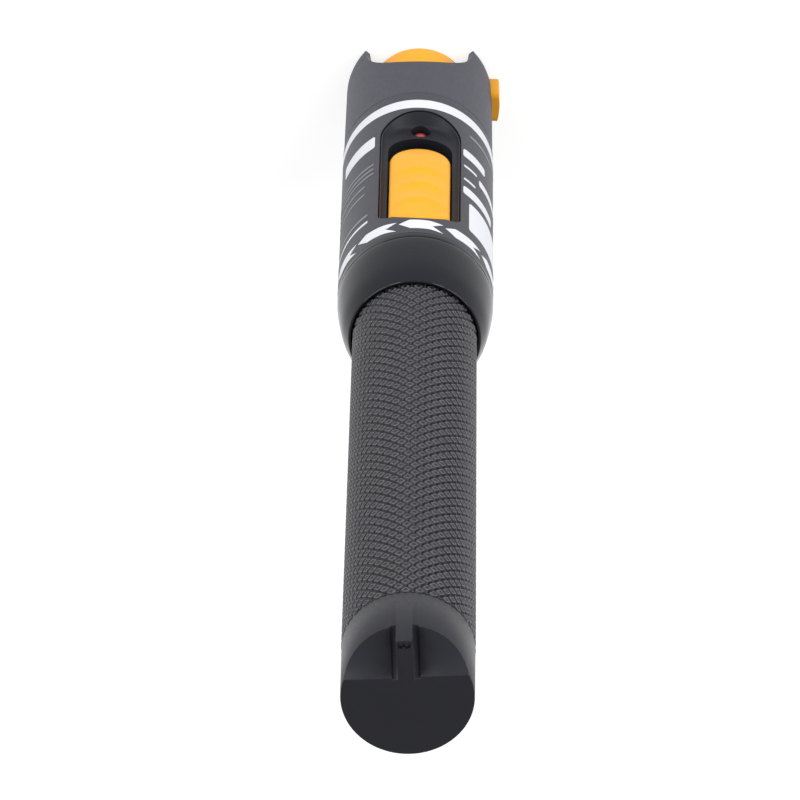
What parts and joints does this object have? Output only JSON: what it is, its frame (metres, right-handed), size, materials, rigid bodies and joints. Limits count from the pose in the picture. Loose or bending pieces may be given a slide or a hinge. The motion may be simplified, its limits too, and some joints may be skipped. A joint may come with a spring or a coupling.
{
  "type": "visual fault locator",
  "caption": "Pen-shaped red laser tester for fibre connectors, with a thumb slide switch, a hinged orange dust cap on the nose and a knurled battery handle.",
  "frame": {"origin": "on the tool's axis, in the plane of the nose rim that it stands on", "axes": "+Z along the axis from the nose to the tail cap, the slide switch towards -Y, the hinge of the dust cap towards -X"},
  "size_m": [0.0269, 0.0256, 0.2],
  "materials": {
    "nose_plastic": "fine satin moulding, dark grey",
    "orange_plastic": "smooth orange moulding",
    "steel": "bright",
    "plated_brass": "nickel plated, satin",
    "white_ceramic": "polished ceramic",
    "bare_brass": "turned",
    "lens_glass": "clear",
    "head_plastic": "polished, near black",
    "inner_plastic": "matte moulding",
    "board_laminate": "solder mask",
    "red_lens": "clear red",
    "cell_wrap": "shrink wrap over the can",
    "tube_aluminium": "black anodised, diamond knurl",
    "cap_aluminium": "black anodised, bead blasted",
    "spring_steel": "bright"
  },
  "bodies": {
    "grip": {"nose_collar": "nose_plastic", "cap_hinge": "orange_plastic", "hinge_pin": "steel", "port_barrel": "plated_brass", "port_nut": "plated_brass", "ceramic_sleeve": "white_ceramic", "laser_housing": "bare_brass", "focus_lens": "lens_glass", "laser_diode": "steel", "head_housing": "head_plastic", "switch_body": "steel", "circuit_board": "board_laminate", "driver_chip": "inner_plastic", "indicator_led": "red_lens", "board_cradle": "inner_plastic", "contact_insulator": "inner_plastic", "front_contact": "bare_brass", "battery_front": "cell_wrap", "battery_rear": "cell_wrap", "handle_tube": "tube_aluminium"},
    "slider": {"slide_knob": "orange_plastic", "slide_carrier": "inner_plastic", "switch_lever": "inner_plastic"},
    "nose_cap": {"dust_cap": "orange_plastic"},
    "spring": {"tail_spring": "spring_steel"},
    "tail": {"tail_cap": "cap_aluminium"}
  },
  "joints": [
    {"name": "switch_slide", "type": "slide", "parent": "grip", "child": "slider", "axis": [0, 0, -1], "range_m": [0, 0.0046]},
    {"name": "cap_flip", "type": "hinge", "parent": "grip", "child": "nose_cap", "pos_m": [-0.0116, 0, 0.0019], "axis": [0, 1, 0], "range_deg": [0, 100]},
    {"name": "tail_lift", "type": "slide", "parent": "grip", "child": "spring", "axis": [0, 0, 1], "range_m": [0, 0.00626]},
    {"name": "tail_unscrew", "type": "hinge", "parent": "spring", "child": "tail", "pos_m": [0, 0, 0.19], "axis": [0, 0, 1], "range_deg": [0, 1800]}
  ],
  "couplings": [
    {"joint": "tail_lift", "follows": "tail_unscrew", "m_per_rad": 0.00019894}
  ]
}
